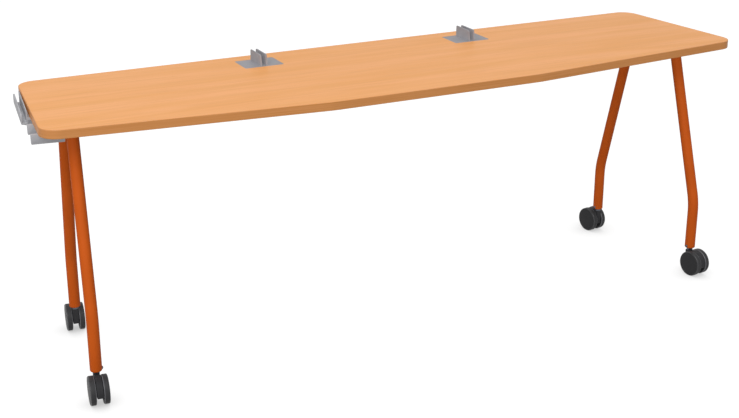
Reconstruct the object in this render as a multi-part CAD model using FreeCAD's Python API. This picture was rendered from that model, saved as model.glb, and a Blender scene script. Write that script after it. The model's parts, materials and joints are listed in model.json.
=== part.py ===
"""Six-sided training table on casters, with two board docks and a hook bracket at its left end.

Millimetres, +Z up, X along the table, +Y to its back edge. The origin is on the floor, in the middle
of the table's box. Right-hand pieces are built and the left-hand ones are their mirror images.
"""
import math
import os

import FreeCAD
import Part

Vec = FreeCAD.Vector
X_AXIS = Vec(1, 0, 0)
Y_AXIS = Vec(0, 1, 0)
Z_AXIS = Vec(0, 0, 1)
ORIGIN = Vec(0, 0, 0)

# Top: sheet stack, outline and edge
TABLE_HEIGHT = 724.0
LAMINATE_THICK = 1.0
CORE_THICK = 20.0
BACKER_THICK = 1.0
EDGE_BAND_THICK = 2.0
EDGE_ARRIS = 1.0
TOP_DEPTH = 538.0
BACK_LENGTH = 1951.0
FRONT_FLAT = 610.0
FRONT_TURN = 5.85
END_LEAN = 6.2
CORNER_RADIUS = 48.0
FRONT_BEND_RADIUS = 250.0

# Board docks: flush plate, skirt through the board, two upright fins
DOCK_X = 328.0
DOCK_FROM_BACK = 91.0
DOCK_LENGTH = 113.0
DOCK_WIDTH = 86.0
DOCK_CORNER = 5.0
DOCK_PLATE_THICK = 3.0
DOCK_SKIRT_INSET = 7.0
DOCK_SKIRT_WALL = 3.0
DOCK_CUTOUT_CLEARANCE = 0.4
DOCK_REBATE_CLEARANCE = 0.15
FIN_END_INSET = 5.0
FIN_HEIGHT = 31.0
FIN_FOOT = 5.2
FIN_TIP = 3.8
FIN_PITCH = 16.0
FIN_FRONT_LEAN = 6.0
FIN_FRONT_ROUND = 6.0
FIN_BACK_ROUND = 3.0
FIN_TIP_ROUND = 1.2
BOSS_RADIUS = 5.5
BOSS_OVERLAP = 1.5
CLAMP_MARGIN = 8.0
CLAMP_THICK = 3.0

# Leg pairs: each lies in an upright plane, turned from the table's depth
LEG_TURN = 7.7
LEG_INSET = 95.0
LEG_PLANE_Y = 22.6
FOOT_REACH = 206.0
FRONT_TOP_REACH = 74.0
REAR_TOP_REACH = 97.5
BEND_HEIGHT = 226.0
BEND_RADIUS = 220.0
TUBE_RADIUS = 15.5
TUBE_WALL = 2.0
TUBE_FOOT_CLEARANCE = 4.0
TUBE_FOOT_WALL = 2.5
TUBE_FOOT_ROUND = 3.5

# Leg mount under the top: plate and two collars
MOUNT_THICK = 5.0
MOUNT_INNER = 62.0
MOUNT_OUTER = 25.0
MOUNT_OVERHANG = 52.0
MOUNT_CORNER = 14.0
COLLAR_WALL = 3.5
COLLAR_DEPTH = 30.0
MOUNT_SCREW_INSET = 13.0

# Stiffener channel: a hat section with its flanges on the underside of the top
CHANNEL_END_GAP = 10.0
CHANNEL_Y = 20.0
CHANNEL_CROWN = 36.0
CHANNEL_DEPTH = 24.0
CHANNEL_FLANGE = 18.0
CHANNEL_WALL = 2.0
CHANNEL_BEND = 3.0
CHANNEL_SCREW_INSET = 40.0
CHANNEL_SCREW_COUNT = 4

# End hook bracket: base, cross ribs that end as arms, trough with an outer lip
HOOK_FRONT = 175.0
HOOK_BACK = 168.0
HOOK_GAP = 2.5
HOOK_BASE_INSET = 12.6
HOOK_BASE_THICK = 6.0
RIB_COUNT = 5
RIB_THICK = 10.0
RIB_DEPTH = 24.0
ARM_PAST_END = 7.2
ARM_ROUND = 2.0
TROUGH_FRONT = 28.0
TROUGH_CLEARANCE = 0.4
TROUGH_INNER_WALL = 2.6
TROUGH_INNER_DROP = 4.0
TROUGH_SLOT = 10.4
TROUGH_FLOOR_DROP = 13.0
TROUGH_FLOOR_WALL = 4.0
TROUGH_FILLET = 2.5
LIP_WALL = 3.8
LIP_DROP = 9.5
LIP_FOOT_ROUND = 4.4
LIP_END_ROUND = 9.0
WALL_TIP_ROUND = 1.4

# Casters: twin wheels on a trailing axle
WHEEL_RADIUS = 38.0
TREAD_THICK = 5.0
TREAD_ROUND = 4.5
WHEEL_WIDTH = 15.0
WHEEL_CROWN = 1.0
WHEEL_GAP = 1.0
WHEEL_CAP = 5.0
WHEEL_RIM_WALL = 5.0
WHEEL_WEB = 8.0
HUB_RADIUS = 8.5
TRAIL = 24.5
AXLE_RADIUS = 4.0
AXLE_CHAMFER = 0.8
AXLE_END_GAP = 0.5
AXLE_HOUSING_WALL = 4.0
FENDER_INSET = 1.2
CASTER_BODY_WIDTH = 17.0
CASTER_BODY_EDGE = 2.0
PIN_HOUSING_WALL = 4.0
PIN_RADIUS = 5.0
PIN_LENGTH = 22.0
STEM_COLLAR_RADIUS = 9.0
STEM_COLLAR_MARGIN = 1.5
STEM_RADIUS = 5.5
STEM_LENGTH = 32.0
STEM_TIP_CHAMFER = 1.5
GRIP_GROOVE_DEPTH = 0.8
GRIP_GROOVE_WIDTH = 4.0
GRIP_GROOVE_FROM_TIP = 8.0
SOCKET_LENGTH = 42.0

# Fasteners
SCREW_RADIUS = 2.0
SCREW_HEAD_RADIUS = 4.2
SCREW_HEAD_HEIGHT = 2.4
SCREW_HEAD_CHAMFER = 1.0
SCREW_TIP_COVER = 8.0
SOCKET_SCREW_RADIUS = 2.5
SOCKET_SCREW_HEAD_RADIUS = 4.6
SOCKET_SCREW_HEAD_HEIGHT = 3.2
SOCKET_SCREW_RISE = 6.5
SOCKET_SCREW_BITE = 4.5

# Fits
SEAT_CLEARANCE = 0.05
RUNNING_CLEARANCE = 0.08
SIDE_CLEARANCE = 0.3

# Largest share of a wall that a rounded edge may take
ROUND_SHARE = 0.45


def sine(degrees):
    return math.sin(math.radians(degrees))


def cosine(degrees):
    return math.cos(math.radians(degrees))


def tangent(degrees):
    return math.tan(math.radians(degrees))


# Top: levels and places that follow from its sizes
TOP_THICK = LAMINATE_THICK + CORE_THICK + BACKER_THICK
UNDERSIDE = TABLE_HEIGHT - TOP_THICK
CORE_TOP = TABLE_HEIGHT - LAMINATE_THICK
CORE_BOTTOM = UNDERSIDE + BACKER_THICK
HALF_DEPTH = TOP_DEPTH / 2
DOCK_Y = HALF_DEPTH - DOCK_FROM_BACK
FIN_LENGTH = DOCK_WIDTH - 2 * FIN_END_INSET
SCREW_BITE = BACKER_THICK + CORE_THICK - SCREW_TIP_COVER

# Casters: levels and faces that follow from the wheels
WHEEL_INNER_FACE = CASTER_BODY_WIDTH / 2 + WHEEL_GAP
WHEEL_OUTER_FACE = WHEEL_INNER_FACE + WHEEL_WIDTH
AXLE_HALF_LENGTH = WHEEL_OUTER_FACE - WHEEL_CAP - AXLE_END_GAP
CASTER_BODY_RADIUS = WHEEL_RADIUS - FENDER_INSET
CASTER_FLAT_END = STEM_COLLAR_RADIUS + STEM_COLLAR_MARGIN
CASTER_BODY_RISE = math.sqrt(CASTER_BODY_RADIUS**2 - (TRAIL - CASTER_FLAT_END) ** 2)
CASTER_BODY_TOP = WHEEL_RADIUS + CASTER_BODY_RISE
CASTER_BODY_DROP = AXLE_RADIUS + AXLE_HOUSING_WALL
CASTER_BODY_BACK = PIN_RADIUS + PIN_HOUSING_WALL
TUBE_FOOT_HEIGHT = 2 * WHEEL_RADIUS + TUBE_FOOT_CLEARANCE
SOCKET_SCREW_HEIGHT = TUBE_FOOT_HEIGHT + SOCKET_SCREW_RISE

# Leg pair, channel and hook: places that follow from the end of the top
END_AT_LEGS = BACK_LENGTH / 2 + (HALF_DEPTH - LEG_PLANE_Y) * tangent(END_LEAN)
LEG_PLANE_X = END_AT_LEGS - LEG_INSET
END_REACH = LEG_INSET / (cosine(LEG_TURN) + sine(LEG_TURN) * tangent(END_LEAN))
CHANNEL_HALF_WIDTH = CHANNEL_CROWN / 2 + CHANNEL_FLANGE
CHANNEL_BACK = CHANNEL_Y + CHANNEL_HALF_WIDTH - LEG_PLANE_Y
MOUNT_EDGE = LEG_PLANE_X - MOUNT_INNER / cosine(LEG_TURN) - CHANNEL_BACK * tangent(LEG_TURN)
CHANNEL_LENGTH = 2 * (MOUNT_EDGE - CHANNEL_END_GAP)
TROUGH_INNER = END_REACH + HOOK_BACK * tangent(LEG_TURN - END_LEAN) + TROUGH_CLEARANCE
TROUGH_INNER_TOP = TABLE_HEIGHT - TROUGH_INNER_DROP
TROUGH_FLOOR_TOP = UNDERSIDE - TROUGH_FLOOR_DROP
LIP_TOP = TABLE_HEIGHT - LIP_DROP
ARM_REACH = TROUGH_INNER + ARM_PAST_END
HOOK_INNER = MOUNT_OUTER + HOOK_GAP
HOOK_BASE_OUTER = TROUGH_INNER - HOOK_BASE_INSET


def rounded_wire(points, radii):
    """Closed wire through corner points, each rounded by its radius (0 keeps it sharp)."""
    edges = []
    starts = []
    ends = []
    for index, corner in enumerate(points):
        radius = radii[index]
        if radius <= 0:
            starts.append(corner)
            ends.append(corner)
            continue
        to_previous = (points[index - 1] - corner).normalize()
        to_next = (points[(index + 1) % len(points)] - corner).normalize()
        half_angle = to_previous.getAngle(to_next) / 2
        run = radius / math.tan(half_angle)
        bisector = (to_previous + to_next).normalize()
        middle = corner + bisector * (radius / math.sin(half_angle) - radius)
        starts.append(corner + to_previous * run)
        ends.append(corner + to_next * run)
        edges.append((index, Part.Arc(starts[-1], middle, ends[-1]).toShape()))
    ordered = []
    arcs = dict(edges)
    for index in range(len(points)):
        if index in arcs:
            ordered.append(arcs[index])
        following = (index + 1) % len(points)
        if (starts[following] - ends[index]).Length > 1e-6:
            ordered.append(Part.LineSegment(ends[index], starts[following]).toShape())
    return Part.Wire(ordered)


def prism(points, radii, along):
    """Solid made by pushing a rounded outline along a vector."""
    return Part.Face(rounded_wire(points, radii)).extrude(along)


def plate(x_range, y_range, z_range, corner=0.0):
    """Flat plate between three ranges, with its upright corners rounded."""
    points = [
        Vec(x_range[0], y_range[0], z_range[0]),
        Vec(x_range[1], y_range[0], z_range[0]),
        Vec(x_range[1], y_range[1], z_range[0]),
        Vec(x_range[0], y_range[1], z_range[0]),
    ]
    return prism(points, [corner] * 4, Z_AXIS * (z_range[1] - z_range[0]))


def centred(middle, width):
    """Range of a given width about a middle."""
    return (middle - width / 2, middle + width / 2)


def bar(radius, start, direction, length):
    """Round bar from a start point along a direction."""
    return Part.makeCylinder(radius, length, start, direction)


def turned(profile, axis):
    """Solid of revolution about a line through the origin, from a list of corner points."""
    return Part.Face(Part.makePolygon(profile + profile[:1])).revolve(ORIGIN, axis, 360)


def mirrored(shape):
    return shape.mirror(ORIGIN, X_AXIS)


def in_leg_plane(shape):
    """Place a shape built as (outward, to the back, up) at the right-hand pair of legs."""
    placed = shape.copy()
    placed.rotate(ORIGIN, Z_AXIS, LEG_TURN)
    placed.translate(Vec(LEG_PLANE_X, LEG_PLANE_Y, 0))
    return placed


def top_corners(inset):
    """Corner points of the top's outline, each edge moved inwards by an inset."""
    half_back = BACK_LENGTH / 2
    half_flat = FRONT_FLAT / 2
    rise = tangent(FRONT_TURN)
    lean = tangent(END_LEAN)
    back_y = HALF_DEPTH - inset
    front_y = -HALF_DEPTH + inset
    end_at_back = half_back - inset / cosine(END_LEAN) + inset * lean
    slant_at_middle = -HALF_DEPTH - half_flat * rise + inset / cosine(FRONT_TURN)
    front_bend_x = (front_y - slant_at_middle) / rise
    corner_x = (end_at_back + (back_y - slant_at_middle) * lean) / (1 + rise * lean)
    corner_y = slant_at_middle + corner_x * rise
    right_side = [
        Vec(front_bend_x, front_y, 0),
        Vec(corner_x, corner_y, 0),
        Vec(end_at_back, back_y, 0),
    ]
    left_side = [Vec(-point.x, point.y, 0) for point in reversed(right_side)]
    return right_side + left_side


def rear_wheel_reach():
    """How far the rear wheels reach behind the middle of the top."""
    axle_y = LEG_PLANE_Y + (FOOT_REACH + TRAIL) * cosine(LEG_TURN)
    rolled = (WHEEL_RADIUS - TREAD_ROUND) * cosine(LEG_TURN)
    across = (WHEEL_OUTER_FACE - TREAD_ROUND) * sine(LEG_TURN)
    return axle_y + rolled + across + TREAD_ROUND


def front_arm_reach():
    """How far the hook bracket's front arm reaches to the left of the middle of the top."""
    return LEG_PLANE_X + ARM_REACH * cosine(LEG_TURN) + HOOK_FRONT * sine(LEG_TURN)


def front_corner_reach():
    """How far a rounded front corner of the top reaches to the side of its middle."""
    return top_corners(CORNER_RADIUS)[1].x + CORNER_RADIUS


def box_shift():
    """Move that brings the table's box, from front edge to rear wheels, over the origin."""
    right = front_corner_reach()
    left = max(front_arm_reach(), right)
    back = max(rear_wheel_reach(), HALF_DEPTH)
    return Vec((left - right) / 2, (HALF_DEPTH - back) / 2, 0)


def top_sheet(inset, bottom, thick):
    """One sheet of the top."""
    points = [point + Z_AXIS * bottom for point in top_corners(inset)]
    corner = CORNER_RADIUS - inset
    bend = FRONT_BEND_RADIUS - inset
    return prism(points, [bend, corner, corner, corner, corner, bend], Z_AXIS * thick)


def tip_round(wall):
    """Radius of a wall's rounded edge, kept inside the wall."""
    return min(WALL_TIP_ROUND, ROUND_SHARE * wall)


def both_sides(shape):
    """A right-hand shape and its mirror image."""
    return [shape, mirrored(shape)]


def screw_hole(place, depth):
    """Pilot hole for an upward wood screw at a place on the underside of the top."""
    return bar(SCREW_RADIUS + SEAT_CLEARANCE, place, Z_AXIS, depth)


def wood_screw(place, seat_drop, bite):
    """Pan-head screw driven up: its head seats below a piece of the given thickness."""
    head_bottom = -seat_drop - SCREW_HEAD_HEIGHT
    profile = [
        Vec(0, 0, head_bottom),
        Vec(SCREW_HEAD_RADIUS - SCREW_HEAD_CHAMFER, 0, head_bottom),
        Vec(SCREW_HEAD_RADIUS, 0, head_bottom + SCREW_HEAD_CHAMFER),
        Vec(SCREW_HEAD_RADIUS, 0, -seat_drop),
        Vec(SCREW_RADIUS, 0, -seat_drop),
        Vec(SCREW_RADIUS, 0, bite - SCREW_RADIUS),
        Vec(0, 0, bite),
    ]
    screw = turned(profile, Z_AXIS)
    screw.translate(place)
    return screw


def mount_screw_places():
    """Right-hand mount screws, in the leg plane's own directions."""
    front = -FRONT_TOP_REACH - MOUNT_OVERHANG + MOUNT_SCREW_INSET
    back = REAR_TOP_REACH + MOUNT_OVERHANG - MOUNT_SCREW_INSET
    inner = -MOUNT_INNER + MOUNT_SCREW_INSET
    outer = MOUNT_OUTER - MOUNT_SCREW_INSET
    return [Vec(across, along, UNDERSIDE) for across in (inner, outer) for along in (front, back)]


def hook_screw_places():
    """Hook screws before mirroring, one in the middle of each bay between ribs."""
    across = (HOOK_INNER + HOOK_BASE_OUTER) / 2
    ribs = rib_fronts()
    bays = [(ribs[index] + RIB_THICK + ribs[index + 1]) / 2 for index in range(RIB_COUNT - 1)]
    return [Vec(across, along, UNDERSIDE) for along in bays]


def channel_screw_places():
    """Screws of the stiffener channel, in pairs along both flanges."""
    first = -CHANNEL_LENGTH / 2 + CHANNEL_SCREW_INSET
    step = (CHANNEL_LENGTH - 2 * CHANNEL_SCREW_INSET) / (CHANNEL_SCREW_COUNT - 1)
    off = CHANNEL_CROWN / 2 + CHANNEL_FLANGE / 2
    return [
        Vec(first + step * index, CHANNEL_Y + side * off, UNDERSIDE)
        for index in range(CHANNEL_SCREW_COUNT)
        for side in (-1, 1)
    ]


def top_screw_holes():
    """Pilot holes of every screw that bites into the underside of the top."""
    depth = SCREW_BITE + SEAT_CLEARANCE
    holes = [screw_hole(place, depth) for place in channel_screw_places()]
    for place in mount_screw_places():
        holes += both_sides(in_leg_plane(screw_hole(place, depth)))
    for place in hook_screw_places():
        holes.append(mirrored(in_leg_plane(screw_hole(place, depth))))
    return Part.makeCompound(holes)


def dock_box(margin, bottom, top, corner):
    """Upright block on a dock's middle, its plate outline grown by a margin."""
    return plate(
        centred(DOCK_X, DOCK_LENGTH + 2 * margin),
        centred(DOCK_Y, DOCK_WIDTH + 2 * margin),
        (bottom, top),
        corner,
    )


def dock_openings(bottom, top, rebate_bottom):
    """Both dock cut-outs through part of the top: a wide rebate over a narrower hole."""
    hole_margin = DOCK_CUTOUT_CLEARANCE - DOCK_SKIRT_INSET
    hole = dock_box(hole_margin, bottom, top, 0)
    shapes = both_sides(hole)
    if rebate_bottom < top:
        rebate = dock_box(DOCK_REBATE_CLEARANCE, rebate_bottom, top, DOCK_CORNER)
        shapes += both_sides(rebate)
    return Part.makeCompound(shapes)


def make_top(nodes):
    """Core, laminate, backing sheet and edge band of the top."""
    holes = top_screw_holes()
    rebate_bottom = TABLE_HEIGHT - DOCK_PLATE_THICK
    core = top_sheet(EDGE_BAND_THICK, CORE_BOTTOM, CORE_THICK)
    core = core.cut(dock_openings(CORE_BOTTOM, CORE_TOP, rebate_bottom))
    nodes["tabletop_core"] = core.cut(holes)
    laminate = top_sheet(EDGE_BAND_THICK, CORE_TOP, LAMINATE_THICK)
    nodes["top_laminate"] = laminate.cut(dock_openings(CORE_TOP, TABLE_HEIGHT, CORE_TOP))
    backer = top_sheet(EDGE_BAND_THICK, UNDERSIDE, BACKER_THICK)
    backer = backer.cut(dock_openings(UNDERSIDE, CORE_BOTTOM, CORE_BOTTOM))
    nodes["backing_sheet"] = backer.cut(holes)
    band = top_sheet(0, UNDERSIDE, TOP_THICK)
    arris = [edge for edge in band.Edges if edge.BoundBox.ZLength < EDGE_ARRIS]
    band = band.makeFillet(EDGE_ARRIS, arris)
    nodes["edge_band"] = band.cut(top_sheet(EDGE_BAND_THICK, UNDERSIDE, TOP_THICK))


def dock_fin(middle_x):
    """One upright fin: tapered in its thickness, its front edge leaning back to a rounded corner."""
    front = DOCK_Y - FIN_LENGTH / 2
    back = DOCK_Y + FIN_LENGTH / 2
    foot = TABLE_HEIGHT - DOCK_PLATE_THICK / 2
    tip = TABLE_HEIGHT + FIN_HEIGHT
    section = prism(
        [
            Vec(middle_x - FIN_FOOT / 2, front, foot),
            Vec(middle_x + FIN_FOOT / 2, front, foot),
            Vec(middle_x + FIN_TIP / 2, front, tip),
            Vec(middle_x - FIN_TIP / 2, front, tip),
        ],
        [0, 0, FIN_TIP_ROUND, FIN_TIP_ROUND],
        Y_AXIS * FIN_LENGTH,
    )
    side = prism(
        [
            Vec(middle_x - FIN_FOOT, front, foot),
            Vec(middle_x - FIN_FOOT, back, foot),
            Vec(middle_x - FIN_FOOT, back, tip),
            Vec(middle_x - FIN_FOOT, front + FIN_FRONT_LEAN, tip),
        ],
        [0, 0, FIN_BACK_ROUND, FIN_FRONT_ROUND],
        X_AXIS * (2 * FIN_FOOT),
    )
    return section.common(side)


def dock_boss_places():
    """Middles of the four screw bosses inside a dock's skirt, on the underside of the top."""
    inset = DOCK_SKIRT_INSET + DOCK_SKIRT_WALL + BOSS_RADIUS - BOSS_OVERLAP
    half_x = DOCK_LENGTH / 2 - inset
    half_y = DOCK_WIDTH / 2 - inset
    return [
        Vec(DOCK_X + side * half_x, DOCK_Y + end * half_y, UNDERSIDE)
        for side in (-1, 1)
        for end in (-1, 1)
    ]


def make_docks(nodes):
    """Dock mouldings, their clamp plates and clamp screws."""
    plate_bottom = TABLE_HEIGHT - DOCK_PLATE_THICK
    skirt_bottom = UNDERSIDE + SIDE_CLEARANCE
    dock = dock_box(0, plate_bottom, TABLE_HEIGHT, DOCK_CORNER)
    skirt = dock_box(-DOCK_SKIRT_INSET, skirt_bottom, plate_bottom, 0)
    hollow = dock_box(-DOCK_SKIRT_INSET - DOCK_SKIRT_WALL, skirt_bottom, plate_bottom, 0)
    dock = dock.fuse(skirt.cut(hollow))
    for place in dock_boss_places():
        boss_foot = Vec(place.x, place.y, skirt_bottom)
        dock = dock.fuse(bar(BOSS_RADIUS, boss_foot, Z_AXIS, plate_bottom - skirt_bottom))
    for side in (-1, 1):
        dock = dock.fuse(dock_fin(DOCK_X + side * FIN_PITCH / 2))
    clamp = dock_box(CLAMP_MARGIN - DOCK_SKIRT_INSET, UNDERSIDE - CLAMP_THICK, UNDERSIDE, DOCK_CORNER)
    screws = []
    for place in dock_boss_places():
        dock = dock.cut(screw_hole(place, SCREW_BITE + SEAT_CLEARANCE))
        clamp = clamp.cut(screw_hole(place - Z_AXIS * CLAMP_THICK, CLAMP_THICK))
        screws.append(wood_screw(place, CLAMP_THICK, SCREW_BITE))
    dock = dock.removeSplitter()
    nodes["right_dock"] = dock
    nodes["right_dock_clamp"] = clamp
    nodes["right_dock_screws"] = Part.makeCompound(screws)
    for name in ("dock", "dock_clamp", "dock_screws"):
        nodes["left_" + name] = mirrored(nodes["right_" + name])


def leg_path(foot, top, bottom_height, top_height):
    """Wire of a leg's middle line: upright foot, tangent bend, straight lean to the top."""
    foot_point = Vec(0, foot, bottom_height)
    bend_point = Vec(0, foot, BEND_HEIGHT)
    slope = (top - foot) / (UNDERSIDE - BEND_HEIGHT)
    top_point = Vec(0, foot + slope * (top_height - BEND_HEIGHT), top_height)
    lean = math.atan(abs(slope))
    run = BEND_RADIUS * math.tan(lean / 2)
    upward = (top_point - bend_point).normalize()
    bend_start = bend_point - Z_AXIS * run
    bend_end = bend_point + upward * run
    inward = (upward - Z_AXIS).normalize()
    middle = bend_point + inward * (BEND_RADIUS / math.cos(lean / 2) - BEND_RADIUS)
    edges = [
        Part.LineSegment(foot_point, bend_start).toShape(),
        Part.Arc(bend_start, middle, bend_end).toShape(),
        Part.LineSegment(bend_end, top_point).toShape(),
    ]
    return Part.Wire(edges)


def swept_leg(radius, foot, top, bottom_height, top_height):
    """Round solid along a leg's middle line."""
    ring = Part.Wire(Part.makeCircle(radius, Vec(0, foot, bottom_height), Z_AXIS))
    return leg_path(foot, top, bottom_height, top_height).makePipeShell([ring], True, False)


def above_mount_plate(top):
    """Block over the level where the mount plate starts, which trims a leg's head."""
    reach = 4 * TUBE_RADIUS
    bottom = UNDERSIDE - MOUNT_THICK
    return plate((-reach, reach), (top - reach, top + reach), (bottom, bottom + 2 * reach))


def leg_tube(foot, top):
    """Bent tube, rolled in round the caster stem at its foot and cut level under the mount plate."""
    over = UNDERSIDE + TUBE_RADIUS
    outer = swept_leg(TUBE_RADIUS, foot, top, TUBE_FOOT_HEIGHT, over)
    rim = [edge for edge in outer.Edges if edge.BoundBox.ZMax < TUBE_FOOT_HEIGHT + EDGE_ARRIS]
    outer = outer.makeFillet(TUBE_FOOT_ROUND, rim)
    bore_foot = TUBE_FOOT_HEIGHT + TUBE_FOOT_WALL
    inner = swept_leg(TUBE_RADIUS - TUBE_WALL, foot, top, bore_foot, over)
    tube = outer.cut(inner).cut(above_mount_plate(top))
    stem_hole = bar(STEM_RADIUS + SEAT_CLEARANCE, Vec(0, foot, 0), Z_AXIS, bore_foot + SEAT_CLEARANCE)
    return tube.cut(stem_hole).cut(socket_screw_hole(foot))


def socket_screw_hole(foot):
    """Hole of the socket screw, through the tube's inner side into the socket."""
    start = Vec(-TUBE_RADIUS - TUBE_WALL, foot, SOCKET_SCREW_HEIGHT)
    reach = 2 * TUBE_WALL + SOCKET_SCREW_BITE
    return bar(SOCKET_SCREW_RADIUS + SEAT_CLEARANCE, start, X_AXIS, reach)


def socket_screw(foot):
    """Button-head screw on the side of the leg that faces the table's middle."""
    height = SOCKET_SCREW_HEAD_HEIGHT
    dome = (SOCKET_SCREW_HEAD_RADIUS**2 + height**2) / (2 * height)
    halfway = math.asin(SOCKET_SCREW_HEAD_RADIUS / dome) / 2
    dome_middle = TUBE_RADIUS + height - dome
    tip = TUBE_RADIUS - TUBE_WALL - SOCKET_SCREW_BITE + SEAT_CLEARANCE
    corners = [
        Vec(-TUBE_RADIUS - height, 0, 0),
        Vec(-tip, 0, 0),
        Vec(-tip, 0, SOCKET_SCREW_RADIUS),
        Vec(-TUBE_RADIUS, 0, SOCKET_SCREW_RADIUS),
        Vec(-TUBE_RADIUS, 0, SOCKET_SCREW_HEAD_RADIUS),
    ]
    crown = Vec(-dome_middle - dome * math.cos(halfway), 0, dome * math.sin(halfway))
    edges = [Part.LineSegment(corners[i], corners[i + 1]).toShape() for i in range(len(corners) - 1)]
    edges.append(Part.Arc(corners[-1], crown, corners[0]).toShape())
    screw = Part.Face(Part.Wire(edges)).revolve(ORIGIN, X_AXIS, 360)
    screw.translate(Vec(0, foot, SOCKET_SCREW_HEIGHT))
    return screw


def caster_socket(foot):
    """Sleeve inside the tube's foot that takes the caster stem."""
    outer = TUBE_RADIUS - TUBE_WALL - SEAT_CLEARANCE
    seat = Vec(0, foot, TUBE_FOOT_HEIGHT + TUBE_FOOT_WALL)
    sleeve = bar(outer, seat, Z_AXIS, SOCKET_LENGTH)
    sleeve = sleeve.cut(bar(STEM_RADIUS + SEAT_CLEARANCE, seat, Z_AXIS, SOCKET_LENGTH))
    return sleeve.cut(socket_screw_hole(foot))


def leg_collar(foot, top):
    """Collar of the leg mount round the head of one tube."""
    slope = (top - foot) / (UNDERSIDE - BEND_HEIGHT)
    upward = Vec(0, slope, 1).normalize()
    head = Vec(0, top, UNDERSIDE)
    start = head - upward * (MOUNT_THICK + COLLAR_DEPTH)
    reach = MOUNT_THICK + COLLAR_DEPTH + TUBE_RADIUS
    collar = bar(TUBE_RADIUS + COLLAR_WALL, start, upward, reach)
    bore = bar(TUBE_RADIUS + SEAT_CLEARANCE, start - upward, upward, reach + TUBE_RADIUS)
    return collar.cut(above_mount_plate(top)).cut(bore)


def make_legs(nodes):
    """Leg mounts, tubes, caster sockets and their screws."""
    pairs = {"front": (-FOOT_REACH, -FRONT_TOP_REACH), "rear": (FOOT_REACH, REAR_TOP_REACH)}
    mount = plate(
        (-MOUNT_INNER, MOUNT_OUTER),
        (-FRONT_TOP_REACH - MOUNT_OVERHANG, REAR_TOP_REACH + MOUNT_OVERHANG),
        (UNDERSIDE - MOUNT_THICK, UNDERSIDE),
        MOUNT_CORNER,
    )
    for place in mount_screw_places():
        mount = mount.cut(screw_hole(place - Z_AXIS * MOUNT_THICK, MOUNT_THICK))
    right = {}
    socket_screws = []
    for end, (foot, top) in pairs.items():
        mount = mount.fuse(leg_collar(foot, top))
        right[end + "_leg"] = leg_tube(foot, top)
        right[end + "_caster_socket"] = caster_socket(foot)
        socket_screws.append(socket_screw(foot))
    right["leg_mount"] = mount.removeSplitter()
    right["socket_screws"] = Part.makeCompound(socket_screws)
    screws = [wood_screw(place, MOUNT_THICK, SCREW_BITE) for place in mount_screw_places()]
    right["mount_screws"] = Part.makeCompound(screws)
    for name, shape in right.items():
        nodes["right_" + name] = in_leg_plane(shape)
        nodes["left_" + name] = mirrored(nodes["right_" + name])


def make_channel(nodes):
    """Hat-section stiffener under the top, and its screws."""
    half_crown = CHANNEL_CROWN / 2
    wide = CHANNEL_HALF_WIDTH
    low = UNDERSIDE - CHANNEL_DEPTH
    wall = CHANNEL_WALL
    start = -CHANNEL_LENGTH / 2
    right_half = [
        (wide, UNDERSIDE, 0),
        (wide, UNDERSIDE - wall, 0),
        (half_crown, UNDERSIDE - wall, CHANNEL_BEND),
        (half_crown, low, CHANNEL_BEND + wall),
    ]
    inner_half = [
        (half_crown - wall, low + wall, CHANNEL_BEND),
        (half_crown - wall, UNDERSIDE, CHANNEL_BEND + wall),
    ]
    left_half = [(-y, z, radius) for y, z, radius in reversed(right_half)]
    inner_left = [(-y, z, radius) for y, z, radius in inner_half]
    corners = right_half + left_half + inner_left[::-1] + inner_half
    points = [Vec(start, CHANNEL_Y + y, z) for y, z, _ in corners]
    section = prism(points, [radius for _, _, radius in corners], X_AXIS * CHANNEL_LENGTH)
    screws = []
    for place in channel_screw_places():
        section = section.cut(screw_hole(place - Z_AXIS * wall, wall))
        screws.append(wood_screw(place, wall, SCREW_BITE))
    nodes["stiffener_channel"] = section
    nodes["channel_screws"] = Part.makeCompound(screws)


def rib_fronts():
    """Front faces of the hook bracket's ribs, evenly spaced from its front end to its back end."""
    step = (HOOK_FRONT + HOOK_BACK - RIB_THICK) / (RIB_COUNT - 1)
    return [-HOOK_FRONT + step * index for index in range(RIB_COUNT)]


def hook_rib(front):
    """One cross rib: it runs out under the end of the top, with its lower corner rounded."""
    low = UNDERSIDE - RIB_DEPTH
    points = [
        Vec(HOOK_INNER, front, low),
        Vec(ARM_REACH, front, low),
        Vec(ARM_REACH, front, UNDERSIDE),
        Vec(HOOK_INNER, front, UNDERSIDE),
    ]
    return prism(points, [ARM_ROUND, ARM_ROUND, 0, 0], Y_AXIS * RIB_THICK)


def trough_space():
    """The slot of the trough with everything above it, which the ribs stay out of."""
    slot_inner = TROUGH_INNER + TROUGH_INNER_WALL
    return plate(
        (TROUGH_INNER, slot_inner + TROUGH_SLOT + LIP_WALL),
        (-TROUGH_FRONT, HOOK_BACK),
        (TROUGH_FLOOR_TOP - TROUGH_FLOOR_WALL, UNDERSIDE),
    )


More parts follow.
